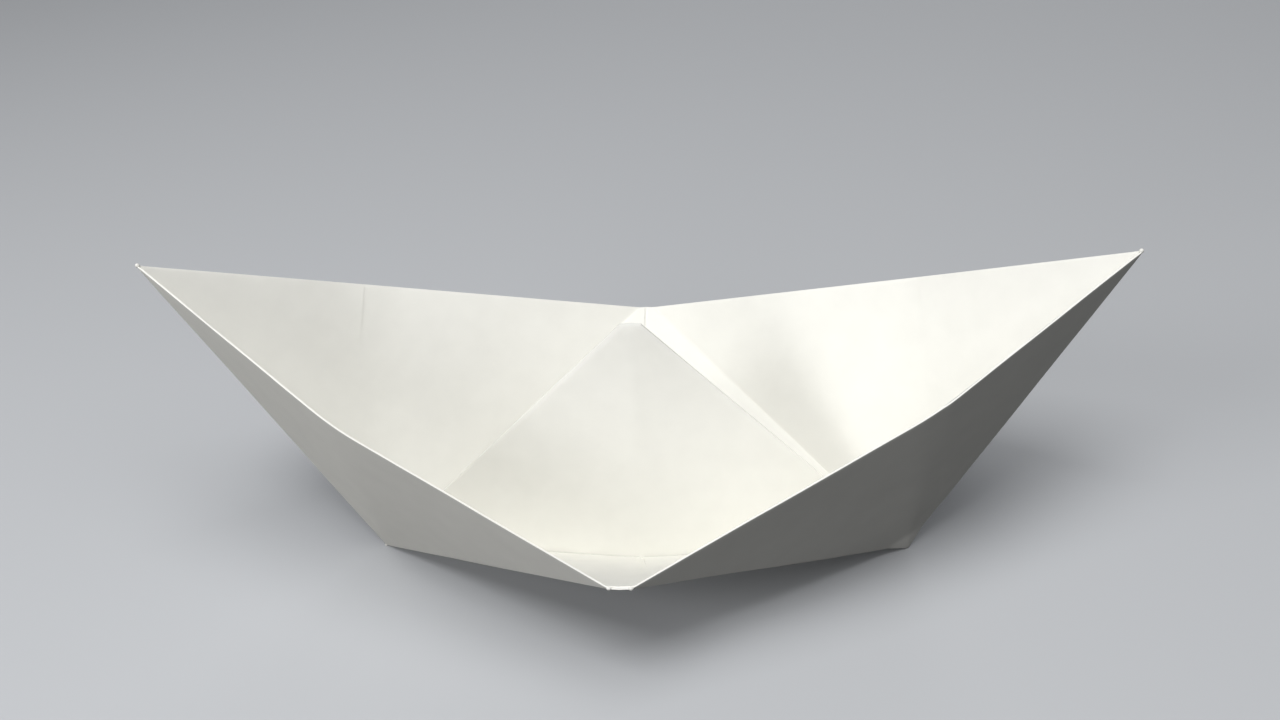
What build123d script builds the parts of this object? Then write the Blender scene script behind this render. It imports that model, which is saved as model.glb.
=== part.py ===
from build123d import *
from math import cos, radians, sin, sqrt
import os

# A classic paper boat, folded from one sheet of A4 copier paper and pulled open.
# X runs from bow to bow, the front is -Y and Z is up. Sizes are in millimetres.

# The flat sheet, and what its folds add
sheet_width = 210.0
sheet_length = 297.0
wall_thickness = 0.5
fold_swell = 0.08
corner_swell = 0.15
keel_corner_radius = 0.7
bend_swell = 0.03
bend_lap = 0.3
apex_flat = 3.8
front_lip_flat = 3.6
back_lip_flat = 2.4
pressed_flat = 0.1

# How far the boat is pulled open
front_floor_angle = 33.5
back_floor_angle = 37.3
sail_lean = 2.3
keel_bow = 4.1

# Each rim has a soft knee a little past the raw edge of the brim, and loses some length at its middle
front_left_knee_past_brim = 4.7
front_right_knee_past_brim = 1.5
back_knee_past_brim = 0.3
front_knee_turn = 9.2
back_knee_turn = 17.2
knee_radius = 60.0
front_rim_slack = 0.8
back_rim_slack = 1.4

# Lengths that the folding gives
rim_length = sheet_width / 2
short_edge = rim_length / sqrt(2)
half_keel = rim_length / 2
brim_height = (sheet_length - sheet_width) / 2
fold_radius = wall_thickness / 2 + fold_swell
corner_radius = fold_radius + corner_swell
near_corner = 0.012
LEFT = Vector(-1, 0, 0)
RIGHT = Vector(1, 0, 0)


def fourth_corner(a, from_a, b, from_b, c, from_c, towards):
    """The point at three given distances from a, b and c, on the side that `towards` points to."""
    across = (b - a).normalized()
    along = across.dot(c - a)
    up = ((c - a) - across * along).normalized()
    height = up.dot(c - a)
    gap = (b - a).length
    x = (from_a**2 - from_b**2 + gap**2) / (2 * gap)
    y = (from_a**2 - from_c**2 + along**2 + height**2 - 2 * along * x) / (2 * height)
    out = across.cross(up)
    if out.dot(towards) < 0:
        out = out * -1
    return a + across * x + up * y + out * sqrt(from_a**2 - x**2 - y**2)


def between(start, end, share):
    """The point a given share of the way from one point to another."""
    return start + (end - start) * share


def rim_chord(knee, slack, turn):
    """Straight distance from bow tip to rim middle, when the rim turns at its knee."""
    rest = rim_length - slack - knee
    return sqrt(knee**2 + rest**2 + 2 * knee * rest * cos(radians(turn)))


def keel_to_rim(knee):
    """Distance on the flat sheet from a keel corner to the point of the rim at its knee."""
    return sqrt((short_edge - knee / sqrt(2)) ** 2 + knee**2 / 2)


def panel(*corners):
    """A flat panel of folded paper, half its thickness to each side of its corners."""
    return extrude(Face(Wire.make_polygon(corners, close=True)), wall_thickness / 2, both=True)


def fold(start, end):
    """The rounded edge where the paper turns from one panel into the next."""
    return Solid.make_cylinder(fold_radius, (end - start).length, Plane(start, z_dir=end - start))


def knob(point, radius):
    """The small round lump of paper at a corner where many folds meet."""
    return Solid.make_sphere(radius).moved(Location(point))


def blunt_corner(point):
    """The small blunt corner, as thick as it is wide, where a few folds meet."""
    start = point - Vector(0, corner_radius, 0)
    return Solid.make_cylinder(corner_radius, 2 * corner_radius, Plane(start, x_dir=RIGHT, z_dir=(0, 1, 0)))


def rim_line(tip, knee, middle, offset, radius):
    """A rim moved sideways in its own plane: two straight runs and the soft knee between them."""
    first_run = (knee - tip).normalized()
    second_run = (middle - knee).normalized()
    section_normal = first_run.cross(second_run).normalized()
    side_steps = [section_normal.cross(first_run), section_normal.cross(second_run)]
    knee_step = (side_steps[0] + side_steps[1]) * (1 / (1 + side_steps[0].dot(side_steps[1])))
    points = [tip + side_steps[0] * offset, knee + knee_step * offset, middle + side_steps[1] * offset]
    return FilletPolyline(*points, radius=radius - offset)


def strip(tip, knee, middle, radius):
    """A thin closed outline along a bend of the wall, a little thicker than the flat wall beside it."""
    half_thickness = wall_thickness / 2 + bend_swell
    inner = rim_line(tip, knee, middle, half_thickness, radius)
    outer = rim_line(tip, knee, middle, -half_thickness, radius)
    return Wire([*inner.edges(), Line(inner @ 1, outer @ 1), *outer.edges(), Line(outer @ 0, inner @ 0)])


def flat_wall(corner, start, end, section_normal):
    """The flat part of a wall below one straight run of its rim."""
    near = [between(corner, point, near_corner) for point in (end, start)]
    outline = Face(Wire.make_polygon([start, end, *near], close=True))
    return extrude(outline, wall_thickness / 2, dir=section_normal.cross(end - start).normalized(), both=True)


def wall(corner, tip, knee, middle):
    """A side of the hull: a fan of paper that opens from the keel corner, flat but for its soft knee."""
    rim = rim_line(tip, knee, middle, 0, knee_radius)
    round_edge = sweep(Plane(tip, z_dir=knee - tip) * Circle(fold_radius), path=rim)
    arc = rim.edges().filter_by(GeomType.CIRCLE)[0]
    bend_start, bend_end = sorted([arc @ 0, arc @ 1], key=lambda point: (point - tip).length)
    bend_rim = [
        bend_start + (tip - bend_start).normalized() * bend_lap,
        knee,
        bend_end + (middle - bend_end).normalized() * bend_lap,
    ]
    small_strip = strip(*[between(corner, point, near_corner) for point in bend_rim], knee_radius * near_corner)
    bend = Solid.make_loft([small_strip, strip(*bend_rim, knee_radius)], ruled=True)
    section_normal = (knee - tip).cross(middle - knee).normalized()
    flats = [
        flat_wall(corner, tip, bend_start, section_normal),
        flat_wall(corner, bend_end, middle, section_normal),
    ]
    return bend.fuse(*flats, round_edge)


# The shape's few main points, with the sheet's own lengths between them
half_chord = sqrt(half_keel**2 - keel_bow**2)
rise = sqrt(short_edge**2 - half_chord**2)
corners = {LEFT: Vector(-half_chord, 0, 0), RIGHT: Vector(half_chord, 0, 0)}
apex = Vector(0, rise * sin(radians(sail_lean)), rise * cos(radians(sail_lean)))
front = dict(
    keel=Vector(0, -keel_bow, 0),
    middle=Vector(0, -rise * cos(radians(front_floor_angle)), rise * sin(radians(front_floor_angle))),
    knees={LEFT: brim_height + front_left_knee_past_brim, RIGHT: brim_height + front_right_knee_past_brim},
    turn=front_knee_turn,
    slack=front_rim_slack,
    lip=front_lip_flat,
    outward=Vector(0, -1, -0.5),
)
back = dict(
    keel=Vector(0, keel_bow, 0),
    middle=Vector(0, rise * cos(radians(back_floor_angle)), rise * sin(radians(back_floor_angle))),
    knees={LEFT: brim_height + back_knee_past_brim, RIGHT: brim_height + back_knee_past_brim},
    turn=back_knee_turn,
    slack=back_rim_slack,
    lip=back_lip_flat,
    outward=Vector(0, 1, -0.5),
)

halves = []
apex_share = apex_flat / 2 / half_keel
for bow in (LEFT, RIGHT):
    corner = corners[bow]
    chords = [rim_chord(side["knees"][bow], side["slack"], side["turn"]) for side in (front, back)]
    tip = fourth_corner(corner, short_edge, front["middle"], chords[0], back["middle"], chords[1], bow)
    apex_end = between(apex, corner, apex_share)
    pieces = [fold(corner, tip), knob(corner, keel_corner_radius), knob(tip, corner_radius)]
    pieces += [fold(corner, apex_end), blunt_corner(apex_end)]
    for side in (front, back):
        # The wall, and the crease below it
        knee_length = side["knees"][bow]
        rest = rim_length - side["slack"] - knee_length
        reach = keel_to_rim(knee_length)
        knee = fourth_corner(corner, reach, tip, knee_length, side["middle"], rest, side["outward"])
        lip_share = side["lip"] / 2 / half_keel
        lip_end = between(side["middle"], corner, lip_share)
        lip_middle = between(side["middle"], side["keel"], lip_share)
        pieces += [wall(corner, tip, knee, lip_end), fold(corner, lip_end)]
        pieces += [fold(lip_end, lip_middle), blunt_corner(lip_end)]
        # Half of the floor and half of the sail's face, which meet at the keel fold
        apex_middle = between(apex, side["keel"], apex_share)
        pieces += [panel(corner, side["keel"], lip_middle, lip_end)]
        pieces += [panel(corner, side["keel"], apex_middle, apex_end)]
        pieces += [fold(corner, side["keel"]), fold(apex_end, apex_middle)]

    halves.append(pieces[0].fuse(*pieces[1:]))

# The sheet's middle crease, down each face of the sail and along each floor
creases = []
for side in (front, back):
    creases += [fold(side["keel"], between(side["middle"], side["keel"], side["lip"] / 2 / half_keel))]
    creases += [fold(side["keel"], between(apex, side["keel"], apex_share)), blunt_corner(side["keel"])]
boat = halves[0].fuse(halves[1], *creases)

# The keel folds are pressed a little flat where they stand
under = Box(sheet_length, sheet_length, sheet_length, align=(Align.CENTER, Align.CENTER, Align.MAX))
boat = boat - Pos(0, 0, pressed_flat - fold_radius) * under

# The origin is the middle of the bounding box, at the level it stands on
box = boat.bounding_box()
boat = Pos(-box.center().X, -box.center().Y, -box.min.Z) * boat

os.makedirs("parts", exist_ok=True)
export_step(boat, "parts/folded_sheet.step")
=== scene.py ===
# %% [markdown]
# A paper boat is one sheet of office paper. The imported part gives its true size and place, and this
# lesson dresses it: the same folds again, as thin paper with soft waves, raw edges and rounded creases.

# %% Load the frame
from math import cos, radians, sin, sqrt, tan

import bmesh
import bpy
from mathutils import Matrix, Vector


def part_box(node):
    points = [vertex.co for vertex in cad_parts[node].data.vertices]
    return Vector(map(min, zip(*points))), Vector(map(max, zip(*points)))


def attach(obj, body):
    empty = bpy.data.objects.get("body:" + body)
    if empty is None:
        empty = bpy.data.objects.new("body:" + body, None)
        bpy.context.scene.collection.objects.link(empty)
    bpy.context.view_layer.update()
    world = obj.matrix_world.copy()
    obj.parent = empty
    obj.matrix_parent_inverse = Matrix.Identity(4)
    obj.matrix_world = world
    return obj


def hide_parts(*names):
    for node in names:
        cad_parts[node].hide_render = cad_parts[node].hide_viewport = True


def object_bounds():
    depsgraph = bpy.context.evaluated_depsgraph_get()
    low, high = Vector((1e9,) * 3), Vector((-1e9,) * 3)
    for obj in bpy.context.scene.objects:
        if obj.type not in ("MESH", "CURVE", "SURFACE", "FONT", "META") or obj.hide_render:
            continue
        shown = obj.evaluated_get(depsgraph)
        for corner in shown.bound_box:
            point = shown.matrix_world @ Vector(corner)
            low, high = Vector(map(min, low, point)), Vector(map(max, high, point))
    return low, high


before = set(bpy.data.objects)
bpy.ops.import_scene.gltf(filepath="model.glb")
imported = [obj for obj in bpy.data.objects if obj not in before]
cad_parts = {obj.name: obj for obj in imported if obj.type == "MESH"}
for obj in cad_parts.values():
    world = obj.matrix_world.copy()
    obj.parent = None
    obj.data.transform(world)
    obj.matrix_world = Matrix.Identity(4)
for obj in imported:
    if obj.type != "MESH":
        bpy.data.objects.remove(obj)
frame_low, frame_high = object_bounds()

MM = 0.001
print("CAD box", frame_low, frame_high)

# %% [markdown]
# The sheet is A4. Folding it fixes every length on it, so a few lengths and the angles at which the boat
# is pulled open place all of its corners. They are the same sizes as in the part's source.

# %% Sizes of the folded sheet, in millimetres
SHEET_WIDTH = 210.0
SHEET_LENGTH = 297.0
RIM = SHEET_WIDTH / 2
SHORT_EDGE = RIM / sqrt(2)
HALF_KEEL = RIM / 2
BRIM = (SHEET_LENGTH - SHEET_WIDTH) / 2

FRONT_FLOOR_ANGLE = radians(33.5)
BACK_FLOOR_ANGLE = radians(37.3)
SAIL_LEAN = radians(2.3)
KEEL_BOW = 4.1
KNEE_RADIUS = 60.0
APEX_FLAT = 3.8

HALF_CHORD = sqrt(HALF_KEEL**2 - KEEL_BOW**2)
RISE = sqrt(SHORT_EDGE**2 - HALF_CHORD**2)
APEX_SHARE = APEX_FLAT / 2 / HALF_KEEL

# The solid's blunt corners and the height of its keel folds, which tell where its origin lies
SOLID_CORNER_RADIUS = 0.48
SOLID_FOLD_HEIGHT = 0.23

# The paper itself is thinner than the solid's walls
PANEL_THICKNESS = 0.27
FOLD_WIDTH = 0.42
HALF_FOLD = Vector((0, FOLD_WIDTH / 2, 0))
TIP_PINCH = 0.6
FOLD_ROUNDING = 0.12
KEEL_LUMP = (0.36, 0.3, 0.3)
TIP_LUMP = (0.4, 0.36, 0.42)
LIP_LUMP = (0.42, 0.3, 0.34)


# %% [markdown]
# A point of folded paper is known by its distances to three corners, because paper doesn't stretch.
# That finds the bow tips, and the knee where each rim bends.

# %% Place the corners
def fourth_corner(a, from_a, b, from_b, c, from_c, towards):
    """The point at given distances from three others, on the side that a direction points to."""
    across = (b - a).normalized()
    along = across.dot(c - a)
    up = ((c - a) - across * along).normalized()
    height = up.dot(c - a)
    gap = (b - a).length
    x = (from_a**2 - from_b**2 + gap**2) / (2 * gap)
    y = (from_a**2 - from_c**2 + along**2 + height**2 - 2 * along * x) / (2 * height)
    out = across.cross(up)
    if out.dot(towards) < 0:
        out.negate()
    return a + across * x + up * y + out * sqrt(from_a**2 - x**2 - y**2)


def rim_chord(knee, slack, turn):
    """Straight distance from a bow tip to the rim's middle, when the rim turns at its knee."""
    rest = RIM - slack - knee
    return sqrt(knee**2 + rest**2 + 2 * knee * rest * cos(turn))


def keel_to_rim(knee):
    """Distance on the flat sheet from a keel corner to a rim point."""
    return sqrt((SHORT_EDGE - knee / sqrt(2)) ** 2 + knee**2 / 2)


LEFT = Vector((-1, 0, 0))
RIGHT = Vector((1, 0, 0))
APEX = Vector((0, RISE * sin(SAIL_LEAN), RISE * cos(SAIL_LEAN)))

# Each side's rim has a left and a right knee, a little past the brim's raw edge, and a short flat lip. The
# leaves' thicknesses are here too, and the seam between the two halves of the leaf on the floor.
FRONT = {
    "keel": Vector((0, -KEEL_BOW, 0)),
    "middle": Vector((0, -RISE * cos(FRONT_FLOOR_ANGLE), RISE * sin(FRONT_FLOOR_ANGLE))),
    "knees": [BRIM + 4.7, BRIM + 1.5],
    "turn": radians(9.2),
    "slack": 0.8,
    "lip": 3.6,
    "seam_gap": 0.8,
    "seam_swing": 1.9,
    "floor_leaf": 0.3,
    "wall_leaf": 0.05,
    "outward": Vector((0, -1, -0.5)),
    "inward": Vector((0, 1, 0.6)),
}
BACK = {
    "keel": Vector((0, KEEL_BOW, 0)),
    "middle": Vector((0, RISE * cos(BACK_FLOOR_ANGLE), RISE * sin(BACK_FLOOR_ANGLE))),
    "knees": [BRIM + 0.3, BRIM + 0.3],
    "turn": radians(17.2),
    "slack": 1.4,
    "lip": 2.4,
    "seam_gap": 0.75,
    "seam_swing": 0,
    "floor_leaf": 0.45,
    "wall_leaf": 0.02,
    "outward": Vector((0, 1, -0.5)),
    "inward": Vector((0, -1, 0.6)),
}
SIDES = {"front": FRONT, "back": BACK}


def bow_points(number):
    """The corners of the left (0) or right (1) half of the boat."""
    out = [LEFT, RIGHT][number]
    corner = out * HALF_CHORD
    chords = [rim_chord(side["knees"][number], side["slack"], side["turn"]) for side in (FRONT, BACK)]
    tip = fourth_corner(corner, SHORT_EDGE, FRONT["middle"], chords[0], BACK["middle"], chords[1], out)
    points = {"out": out, "corner": corner, "tip": tip, "apex_end": APEX.lerp(corner, APEX_SHARE)}
    for name, side in SIDES.items():
        length = side["knees"][number]
        rest = RIM - side["slack"] - length
        knee = fourth_corner(corner, keel_to_rim(length), tip, length, side["middle"], rest, side["outward"])
        lip_share = side["lip"] / 2 / HALF_KEEL
        points[name] = {
            "knee": knee,
            "knee_length": length,
            "lip_end": side["middle"].lerp(corner, lip_share),
            "lip_middle": side["middle"].lerp(side["keel"], lip_share),
            "apex_middle": APEX.lerp(side["keel"], APEX_SHARE),
        }
    return points


LEFT_BOW = bow_points(0)
RIGHT_BOW = bow_points(1)
BOWS = [LEFT_BOW, RIGHT_BOW]

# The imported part's origin is the middle of its box, so the corners move by the same step
solid_low, solid_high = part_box("folded_sheet")
front_edge = LEFT_BOW["front"]["lip_end"].y - SOLID_CORNER_RADIUS
TO_FRAME = Vector((0, solid_low[1] / MM - front_edge, SOLID_FOLD_HEIGHT))
print("bow tips", LEFT_BOW["tip"], RIGHT_BOW["tip"], "moved by", TO_FRAME)


# %% [markdown]
# Every panel is flat or a cone, and all of them meet at the two keel corners. So half of the boat is a
# fan: straight lines from its keel corner to one closed path, along the rims, the lips, the middle
# creases and the sail. Each line is divided in the same steps, so the panels share their edges exactly.

# %% Draw the two fans
RIM_STEPS = 84
LIP_STEPS = 2
SEAM_STEPS = 30
RADIAL_STEPS = 56
FAN_START = 0.006
MERGE_GAP = 0.01

# The near right wall: its brim's edge presses through, and its keel corner is turned out a little
EDGE_STEP = 0.1
EDGE_SLOPE = 0.9
CORNER_FACET = 5.5
CORNER_LIFT = 0.65


def limited(value):
    """A value kept between 0 and 1."""
    return min(1.0, max(0.0, value))


def rim_point(points, side_name, distance):
    """A place on a rim, at a distance from the bow tip along it, with the knee rounded off."""
    part = points[side_name]
    tip, knee, lip_end = points["tip"], part["knee"], part["lip_end"]
    first, second = (knee - tip).normalized(), (lip_end - knee).normalized()
    reach = KNEE_RADIUS * tan(SIDES[side_name]["turn"] / 2)
    past = distance - part["knee_length"]
    if past < -reach:
        return tip + first * distance
    if past > reach:
        return knee + second * past * (lip_end - knee).length / (RIM - part["knee_length"])
    share = (past + reach) / (2 * reach)
    start, end = knee - first * reach, knee + second * reach
    return start.lerp(knee, share).lerp(knee.lerp(end, share), share)


def steps(start, end, count):
    """Evenly spaced points from a start to an end, without the end itself."""
    return [start.lerp(end, number / count) for number in range(count)]


def fan_path(points):
    """The closed path that half of the boat fans out to."""
    front, back = points["front"], points["back"]
    rims = {}
    for name in SIDES:
        rims[name] = [rim_point(points, name, RIM * number / RIM_STEPS) for number in range(RIM_STEPS)]
        rims[name].append(points[name]["lip_end"])
    path = [rims["front"][0] - HALF_FOLD * TIP_PINCH] + rims["front"][1:]
    path += steps(front["lip_end"], front["lip_middle"], LIP_STEPS)[1:]
    path += steps(front["lip_middle"], FRONT["keel"], SEAM_STEPS)
    path += steps(FRONT["keel"], front["apex_middle"] - HALF_FOLD, SEAM_STEPS)
    path += [front["apex_middle"] - HALF_FOLD, points["apex_end"] - HALF_FOLD]
    path += [points["apex_end"] + HALF_FOLD]
    path += steps(back["apex_middle"] + HALF_FOLD, BACK["keel"], SEAM_STEPS)
    path += steps(BACK["keel"], back["lip_middle"], SEAM_STEPS)
    path += steps(back["lip_middle"], back["lip_end"], LIP_STEPS)
    path += rims["back"][:0:-1] + [rims["back"][0] + HALF_FOLD * TIP_PINCH]
    return path


def pressed_out(points, index, place, share):
    """How far out the near right wall stands: past its brim's edge, and more at its keel corner."""
    along = HALF_KEEL + (RIM * index / RIM_STEPS - HALF_KEEL) * share
    past_edge = limited((BRIM - along) / EDGE_SLOPE + 0.5)
    turned = max(0.0, 1 - share * (place - points["corner"]).length / CORNER_FACET)
    return EDGE_STEP * past_edge + CORNER_LIFT * turned


def fan_rows(points):
    """Rows of places from beside a keel corner out to its closed path."""
    path = fan_path(points)
    corner = points["corner"]
    outward = (points["front"]["lip_end"] - corner).cross(points["tip"] - corner).normalized()
    if outward.y > 0:
        outward.negate()
    rows = []
    for step in range(RADIAL_STEPS + 1):
        share = FAN_START + (1 - FAN_START) * step / RADIAL_STEPS
        row = [corner.lerp(place, share) for place in path]
        if points is RIGHT_BOW:
            for index in range(RIM_STEPS + 1):
                row[index] += outward * pressed_out(points, index, path[index], share)
        rows.append(row)
    return rows


def fan_mesh():
    """Both halves as one thin surface, with the sail's blunt top closed."""
    made = bmesh.new()
    for points in BOWS:
        rows = [[made.verts.new(place) for place in row] for row in fan_rows(points)]
        for inner, outer in zip(rows, rows[1:]):
            for index in range(len(inner)):
                following = (index + 1) % len(inner)
                made.faces.new([inner[index], outer[index], outer[following], inner[following]])
    for points in BOWS:
        corners = [
            points["front"]["apex_middle"] - HALF_FOLD,
            points["apex_end"] - HALF_FOLD,
            points["apex_end"] + HALF_FOLD,
            points["back"]["apex_middle"] + HALF_FOLD,
        ]
        made.faces.new([made.verts.new(place) for place in corners])
    bmesh.ops.remove_doubles(made, verts=made.verts, dist=MERGE_GAP)
    bmesh.ops.recalc_face_normals(made, faces=made.faces)
    return made


# %% [markdown]
# Over the inside lies the folded brim: one more leaf, with a raw cut edge. It crosses each wall square to
# the rim, one brim's height from the bow tip, and on the floors it runs beside the keel. The halves of the
# floor's leaf meet at a seam, which swings a little to the right on the front floor. A flat place on a
# wall is carried to its place on the fan.

# %% Lay the brim's leaves
LEAF_STEPS = 40

# On a wall the leaf keeps clear of the bow tip, the rim and the bow's fold, in millimetres
WALL_LEAF_ROWS = 24
TIP_GAP = 1.2
RIM_GAP = 0.35
BOW_FOLD_GAP = 0.5

# On a floor the places are shares of the way from the lip to the keel, and from the seam to the crease
FLOOR_LEAF_ROWS = 20
LEAF_START = 0.01
LEAF_END = 0.985
CREASE_REACH = 0.985
SEAM_TURN = 0.62
SEAM_OPENS_OVER = 0.125


def on_wall(points, side_name, along, down):
    """Where a place on the flat wall goes: along its rim from the bow tip, and down from the rim."""
    share = (HALF_KEEL - down) / HALF_KEEL
    hit = HALF_KEEL + (along - HALF_KEEL) / share
    return points["corner"].lerp(rim_point(points, side_name, hit), share)


def wall_leaf(points, side_name):
    """The brim's leaf on a wall, from the bow tip to its raw edge."""
    grid = []
    for step in range(LEAF_STEPS + 1):
        along = TIP_GAP + (BRIM - TIP_GAP) * step / LEAF_STEPS
        depth = along - BOW_FOLD_GAP - RIM_GAP
        downs = [RIM_GAP + depth * row / WALL_LEAF_ROWS for row in range(WALL_LEAF_ROWS + 1)]
        grid.append([on_wall(points, side_name, along, down) for down in downs])
    return grid


def floor_leaf(points, side_name):
    """The brim's leaf on half of a floor, from the lip to the raw edge beside the keel."""
    side, part = SIDES[side_name], points[side_name]
    crossings = [CREASE_REACH * row / FLOOR_LEAF_ROWS for row in range(FLOOR_LEAF_ROWS + 1)]
    grid = []
    for step in range(LEAF_STEPS + 1):
        share = LEAF_START + (LEAF_END - LEAF_START) * step / LEAF_STEPS
        middle = part["lip_middle"].lerp(side["keel"], share)
        swing = side["seam_swing"] * max(0.0, 1 - abs(share - SEAM_TURN) / (1 - SEAM_TURN))
        opened = limited((share - SEAM_TURN) / SEAM_OPENS_OVER + 1) if side["seam_swing"] else 1.0
        seam = middle + RIGHT * swing + points["out"] * side["seam_gap"] / 2 * opened
        crease = part["lip_end"].lerp(points["corner"], share)
        grid.append([seam.lerp(crease, crossing) for crossing in crossings])
    return grid


def sheet_of(grid, inward, thickness):
    """A grid of places as a surface that faces inward, lifted just off the panel below it."""
    made = bmesh.new()
    rows = [[made.verts.new(place) for place in row] for row in grid]
    for row, following in zip(rows, rows[1:]):
        for index in range(len(row) - 1):
            made.faces.new([row[index], row[index + 1], following[index + 1], following[index]])
    bmesh.ops.remove_doubles(made, verts=made.verts, dist=MERGE_GAP)
    bmesh.ops.recalc_face_normals(made, faces=made.faces)
    made.normal_update()
    if sum(face.normal.dot(inward) for face in made.faces) < 0:
        bmesh.ops.reverse_faces(made, faces=made.faces)
    made.normal_update()
    for vert in made.verts:
        vert.co += vert.normal * (PANEL_THICKNESS / 2 - thickness / 4)
    return made


# %% [markdown]
# Real paper is never quite flat: handling leaves waves a few centimetres long and a tenth of a millimetre
# deep. They follow a rule, so Geometry Nodes makes them: noise pushes each point along its normal.

# %% Build the relief tree
PAPER_SEED = 7.0
WAVE_DEPTH = 0.45 * MM
WAVES_PER_METRE = 28.0
NOISE_MIDDLE = 0.5


def add_node(tree, kind, settings=None, links=None):
    """One node with its settings, and links given as input name or number to an output socket."""
    node = tree.nodes.new(kind)
    for name, value in (settings or {}).items():
        if hasattr(node, name):
            setattr(node, name, value)
        else:
            node.inputs[name].default_value = value
    for name, socket in (links or {}).items():
        tree.links.new(socket, node.inputs[name])
    return node


def relief_tree():
    """Geometry Nodes that give paper its soft waves."""
    tree = bpy.data.node_groups.new("paper_relief", "GeometryNodeTree")
    sockets = {}
    for name, kind in (
        ("Geometry", "NodeSocketGeometry"),
        ("Wave depth", "NodeSocketFloat"),
        ("Waves per metre", "NodeSocketFloat"),
        ("Seed", "NodeSocketFloat"),
        ("Paper", "NodeSocketMaterial"),
    ):
        sockets[name] = tree.interface.new_socket(name=name, in_out="INPUT", socket_type=kind).identifier
    tree.interface.new_socket(name="Geometry", in_out="OUTPUT", socket_type="NodeSocketGeometry")
    given = tree.nodes.new("NodeGroupInput").outputs
    noise = add_node(
        tree,
        "ShaderNodeTexNoise",
        {"noise_dimensions": "4D", "Detail": 2.0, "Roughness": 0.45},
        {"W": given["Seed"], "Scale": given["Waves per metre"]},
    )
    centred = add_node(tree, "ShaderNodeMath", {"operation": "SUBTRACT"}, {0: noise.outputs[0]})
    centred.inputs[1].default_value = NOISE_MIDDLE
    depth = add_node(
        tree,
        "ShaderNodeMath",
        {"operation": "MULTIPLY"},
        {0: centred.outputs[0], 1: given["Wave depth"]},
    )
    normal = tree.nodes.new("GeometryNodeInputNormal")
    push = add_node(
        tree,
        "ShaderNodeVectorMath",
        {"operation": "SCALE"},
        {0: normal.outputs[0], "Scale": depth.outputs[0]},
    )
    moved = add_node(
        tree,
        "GeometryNodeSetPosition",
        links={"Geometry": given["Geometry"], "Offset": push.outputs[0]},
    )
    real = add_node(tree, "GeometryNodeRealizeInstances", links={"Geometry": moved.outputs[0]})
    painted = add_node(
        tree,
        "GeometryNodeSetMaterial",
        links={"Geometry": real.outputs[0], "Material": given["Paper"]},
    )
    result = tree.nodes.new("NodeGroupOutput")
    tree.links.new(painted.outputs[0], result.inputs[0])
    return tree, sockets


RELIEF, RELIEF_SOCKETS = relief_tree()


# %% [markdown]
# Uncoated office paper is matt and white, here a little warm as in the picture, and faintly cloudy where
# its fibres lie denser. Its surface has a felt grain of a third of a millimetre, which only shows close up.

# %% Mix the paper
def srgb(code):
    """An sRGB hex colour as the linear colour that Blender's sockets take."""
    values = [int(code[index : index + 2], 16) / 255 for index in (1, 3, 5)]
    return [v / 12.92 if v <= 0.04045 else ((v + 0.055) / 1.055) ** 2.4 for v in values] + [1.0]


CLOUD_SIZE = 5 * MM
FELT_SIZE = 0.35 * MM
FELT_DEPTH = 0.03 * MM


def office_paper():
    """Uncoated 80 gram copier paper."""
    material = bpy.data.materials.new("uncoated_office_paper")
    material.use_nodes = True
    tree = material.node_tree
    shader = tree.nodes["Principled BSDF"]
    place = tree.nodes.new("ShaderNodeTexCoord").outputs["Object"]
    cloud = add_node(tree, "ShaderNodeTexNoise", {"Scale": 1 / CLOUD_SIZE, "Detail": 3.0}, {"Vector": place})
    tint = add_node(tree, "ShaderNodeValToRGB", links={0: cloud.outputs[0]})
    tint.color_ramp.elements[0].position = 0.3
    tint.color_ramp.elements[0].color = srgb("#F3F2EC")
    tint.color_ramp.elements[1].position = 0.7
    tint.color_ramp.elements[1].color = srgb("#F6F5EF")
    tree.links.new(tint.outputs[0], shader.inputs["Base Color"])
    felt = add_node(tree, "ShaderNodeTexNoise", {"Scale": 1 / FELT_SIZE, "Detail": 4.0}, {"Vector": place})
    bump = add_node(
        tree,
        "ShaderNodeBump",
        {"Strength": 0.12, "Distance": FELT_DEPTH},
        {"Height": felt.outputs[0]},
    )
    tree.links.new(bump.outputs[0], shader.inputs["Normal"])
    shader.inputs["Roughness"].default_value = 0.88
    shader.inputs["Specular IOR Level"].default_value = 0.3
    return material


PAPER = office_paper()


# %% [markdown]
# The surface gets its waves first, then its thickness, then rounded edges, so a fold is round as bent
# paper is. The result is kept as a plain mesh in metres, at the frame's place.

# %% Turn surfaces into paper
GROWN_BOTH_WAYS = 0.0
GROWN_INWARD = 1.0
ROUNDED_ABOVE = radians(50)
SHARP_ABOVE = radians(35)
LUMP_SEGMENTS = 20
LUMP_RINGS = 12


def put_in_scene(name, data):
    """A new object with its data, linked into the scene."""
    made = bpy.data.objects.new(name, data)
    bpy.context.scene.collection.objects.link(made)
    return made


def mesh_in_frame(name, made):
    """A surface in millimetres as a mesh in metres, at the frame's place."""
    made.transform(Matrix.Translation(TO_FRAME))
    made.transform(Matrix.Scale(MM, 4))
    mesh = bpy.data.meshes.new(name)
    made.to_mesh(mesh)
    made.free()
    return mesh


def keep_above_ground(mesh):
    """Lift what reaches below the surface that the boat stands on."""
    for vert in mesh.vertices:
        vert.co.z = max(vert.co.z, frame_low.z)


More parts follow.
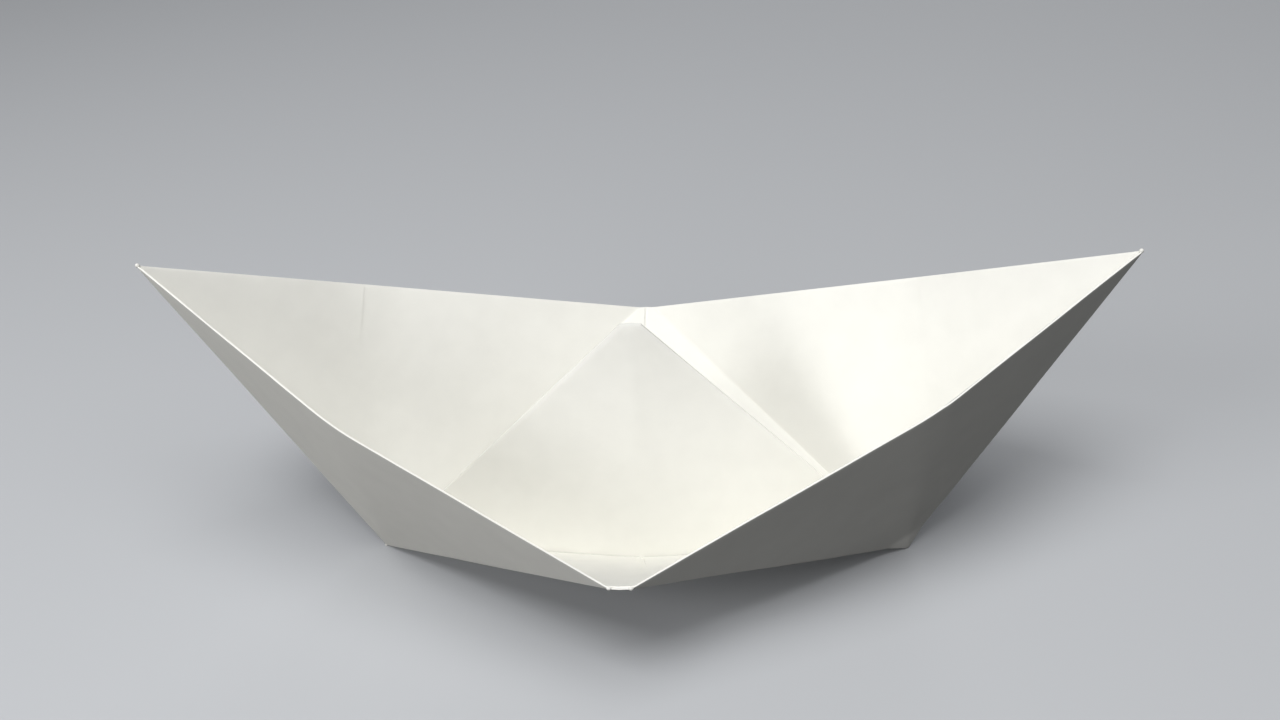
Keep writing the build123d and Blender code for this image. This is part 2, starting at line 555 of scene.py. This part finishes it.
def as_paper(name, made, thickness, offset, rounding):
    """A plain mesh of paper from a thin surface."""
    piece = put_in_scene(name, mesh_in_frame(name, made))
    waves = piece.modifiers.new("waves", "NODES")
    waves.node_group = RELIEF
    waves[RELIEF_SOCKETS["Wave depth"]] = WAVE_DEPTH
    waves[RELIEF_SOCKETS["Waves per metre"]] = WAVES_PER_METRE
    waves[RELIEF_SOCKETS["Seed"]] = PAPER_SEED
    waves[RELIEF_SOCKETS["Paper"]] = PAPER
    solid = piece.modifiers.new("thickness", "SOLIDIFY")
    solid.thickness = thickness * MM
    solid.offset = offset
    if rounding:
        bevel = piece.modifiers.new("rounded folds", "BEVEL")
        bevel.width = rounding * MM
        bevel.segments = 2
        bevel.limit_method = "ANGLE"
        bevel.angle_limit = ROUNDED_ABOVE
    seen = piece.evaluated_get(bpy.context.evaluated_depsgraph_get())
    plain = bpy.data.meshes.new_from_object(seen)
    piece.modifiers.clear()
    piece.data = plain
    keep_above_ground(plain)
    plain.shade_smooth()
    plain.set_sharp_from_angle(angle=SHARP_ABOVE)
    print(name, len(plain.polygons), "faces")
    return piece


def folded_lump(name, place, radii):
    """The small blunt lump where many leaves meet at a corner."""
    lump = bmesh.new()
    bmesh.ops.create_uvsphere(lump, u_segments=LUMP_SEGMENTS, v_segments=LUMP_RINGS, radius=1.0)
    lump.transform(Matrix.Diagonal((*radii, 1.0)))
    lump.transform(Matrix.Translation(place))
    mesh = mesh_in_frame(name, lump)
    keep_above_ground(mesh)
    mesh.materials.append(PAPER)
    mesh.shade_smooth()
    return put_in_scene(name, mesh)


def join(pieces, name):
    """Several pieces as one object."""
    bpy.ops.object.select_all(action="DESELECT")
    for piece in pieces:
        piece.select_set(True)
    bpy.context.view_layer.objects.active = pieces[0]
    bpy.ops.object.join()
    pieces[0].name = name
    return pieces[0]


parts = [as_paper("hull_and_sail", fan_mesh(), PANEL_THICKNESS, GROWN_BOTH_WAYS, FOLD_ROUNDING)]
for bow_number, bow in enumerate(BOWS):
    for side_name, side in SIDES.items():
        for kind, grid, thickness in (
            ("wall", wall_leaf(bow, side_name), side["wall_leaf"]),
            ("floor", floor_leaf(bow, side_name), side["floor_leaf"]),
        ):
            leaf = sheet_of(grid, side["inward"], thickness)
            leaf_name = f"{kind}_leaf_{side_name}_{bow_number}"
            parts.append(as_paper(leaf_name, leaf, thickness, GROWN_INWARD, 0))
    parts.append(folded_lump("keel_corner", bow["corner"], KEEL_LUMP))
    parts.append(folded_lump("bow_tip", bow["tip"], TIP_LUMP))
    parts.append(folded_lump("lip_corner", bow["front"]["lip_end"], LIP_LUMP))

boat = join(parts, "folded_paper")
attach(boat, "root")
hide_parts("folded_sheet")

# %% [markdown]
# The camera stands where the photographer's did: its place and turn come from fitting the folded sheet's
# corners to the picture, and the lens comes with them.

# %% Set the camera
FOCAL_PIXELS = 1275.0
PHOTO_WIDTH = 1280.0
SENSOR_WIDTH = 36.0
CAMERA_DISTANCE = 232.1
CAMERA_ELEVATION = radians(33.0)
CAMERA_YAW = radians(-5.07)
CAMERA_ROLL = radians(-3.27)
CAMERA_TARGET = Vector((1.6, 0, 44.4))

forward = Vector(
    (
        cos(CAMERA_ELEVATION) * sin(CAMERA_YAW),
        cos(CAMERA_ELEVATION) * cos(CAMERA_YAW),
        -sin(CAMERA_ELEVATION),
    )
)
level = Vector((cos(CAMERA_YAW), -sin(CAMERA_YAW), 0))
upward = level.cross(forward)
rolled_right = level * cos(CAMERA_ROLL) + upward * sin(CAMERA_ROLL)
rolled_up = upward * cos(CAMERA_ROLL) - level * sin(CAMERA_ROLL)
camera_place = (CAMERA_TARGET - forward * CAMERA_DISTANCE + TO_FRAME) * MM
camera_turn = Matrix((rolled_right, rolled_up, -forward)).transposed()

camera_data = bpy.data.cameras.new("camera")
camera_data.sensor_width = SENSOR_WIDTH
camera_data.lens = SENSOR_WIDTH * FOCAL_PIXELS / PHOTO_WIDTH
camera_data.clip_start = 0.01
camera = put_in_scene("camera", camera_data)
camera.matrix_world = Matrix.Translation(camera_place) @ camera_turn.to_4x4()
bpy.context.scene.camera = camera

# %% [markdown]
# The boat stands on a plain pale floor. Soft lamps high in front and overhead light its inside. One at the
# left, as a window does, and a low one light the near left wall and leave the near right wall in shade, as
# in the picture. A weak lamp behind the boat and a weak sky fill the shadows.
# Only the camera sees the floor pale. To the boat it is dark, so it throws little light up against the
# walls and leaves them their shade.

# %% Floor and lamps
FLOOR_SIZE = 6.0
LAMP_AIM = Vector((0, 0, 0.03))
SKY_STRENGTH = 0.13


def studio_board():
    """Matt board that is pale to the camera and dark to the boat."""
    material = bpy.data.materials.new("matt_studio_board")
    material.use_nodes = True
    tree = material.node_tree
    shader = tree.nodes["Principled BSDF"]
    shader.inputs["Roughness"].default_value = 0.9
    shader.inputs["Specular IOR Level"].default_value = 0.0
    seen_directly = tree.nodes.new("ShaderNodeLightPath").outputs["Is Camera Ray"]
    tint = add_node(tree, "ShaderNodeValToRGB", links={0: seen_directly})
    tint.color_ramp.elements[0].color = srgb("#404040")
    tint.color_ramp.elements[1].color = srgb("#C6C8CB")
    tree.links.new(tint.outputs[0], shader.inputs["Base Color"])
    return material


def lamp(name, direction, distance, size, power):
    """A soft square lamp that points at the boat from a direction."""
    data = bpy.data.lights.new(name, "AREA")
    data.size = size
    data.energy = power
    away = Vector(direction).normalized()
    made = put_in_scene(name, data)
    made.location = away * distance + LAMP_AIM
    made.rotation_euler = away.to_track_quat("Z", "Y").to_euler()


edge = FLOOR_SIZE / 2
floor_corners = [(-edge, -edge, 0), (edge, -edge, 0), (edge, edge, 0), (-edge, edge, 0)]
floor_mesh = bpy.data.meshes.new("studio_floor")
floor_mesh.from_pydata(floor_corners, [], [(0, 1, 2, 3)])
floor_mesh.materials.append(studio_board())
studio_floor = put_in_scene("studio_floor", floor_mesh)
studio_floor.location.z = frame_low.z

lamp("key", (-0.16, -0.434, 0.886), 0.9, 0.3, 3.3)
lamp("overhead", (0.1, -0.25, 0.96), 0.9, 0.45, 2.5)
lamp("left_window", (-0.65, -0.57, 0.5), 0.8, 0.25, 1.6)
lamp("right_high", (0.5, -0.4, 0.77), 0.8, 0.3, 0.4)
lamp("low_fill", (-0.5, -0.83, 0.17), 0.75, 0.3, 0.75)
lamp("back_fill", (0.25, 0.9, 0.3), 0.9, 0.4, 0.8)

world = bpy.data.worlds.new("studio_air")
world.use_nodes = True
world.node_tree.nodes["Background"].inputs[0].default_value = srgb("#E8ECF2")
world.node_tree.nodes["Background"].inputs[1].default_value = SKY_STRENGTH
bpy.context.scene.world = world
bpy.context.scene.view_settings.view_transform = "Standard"
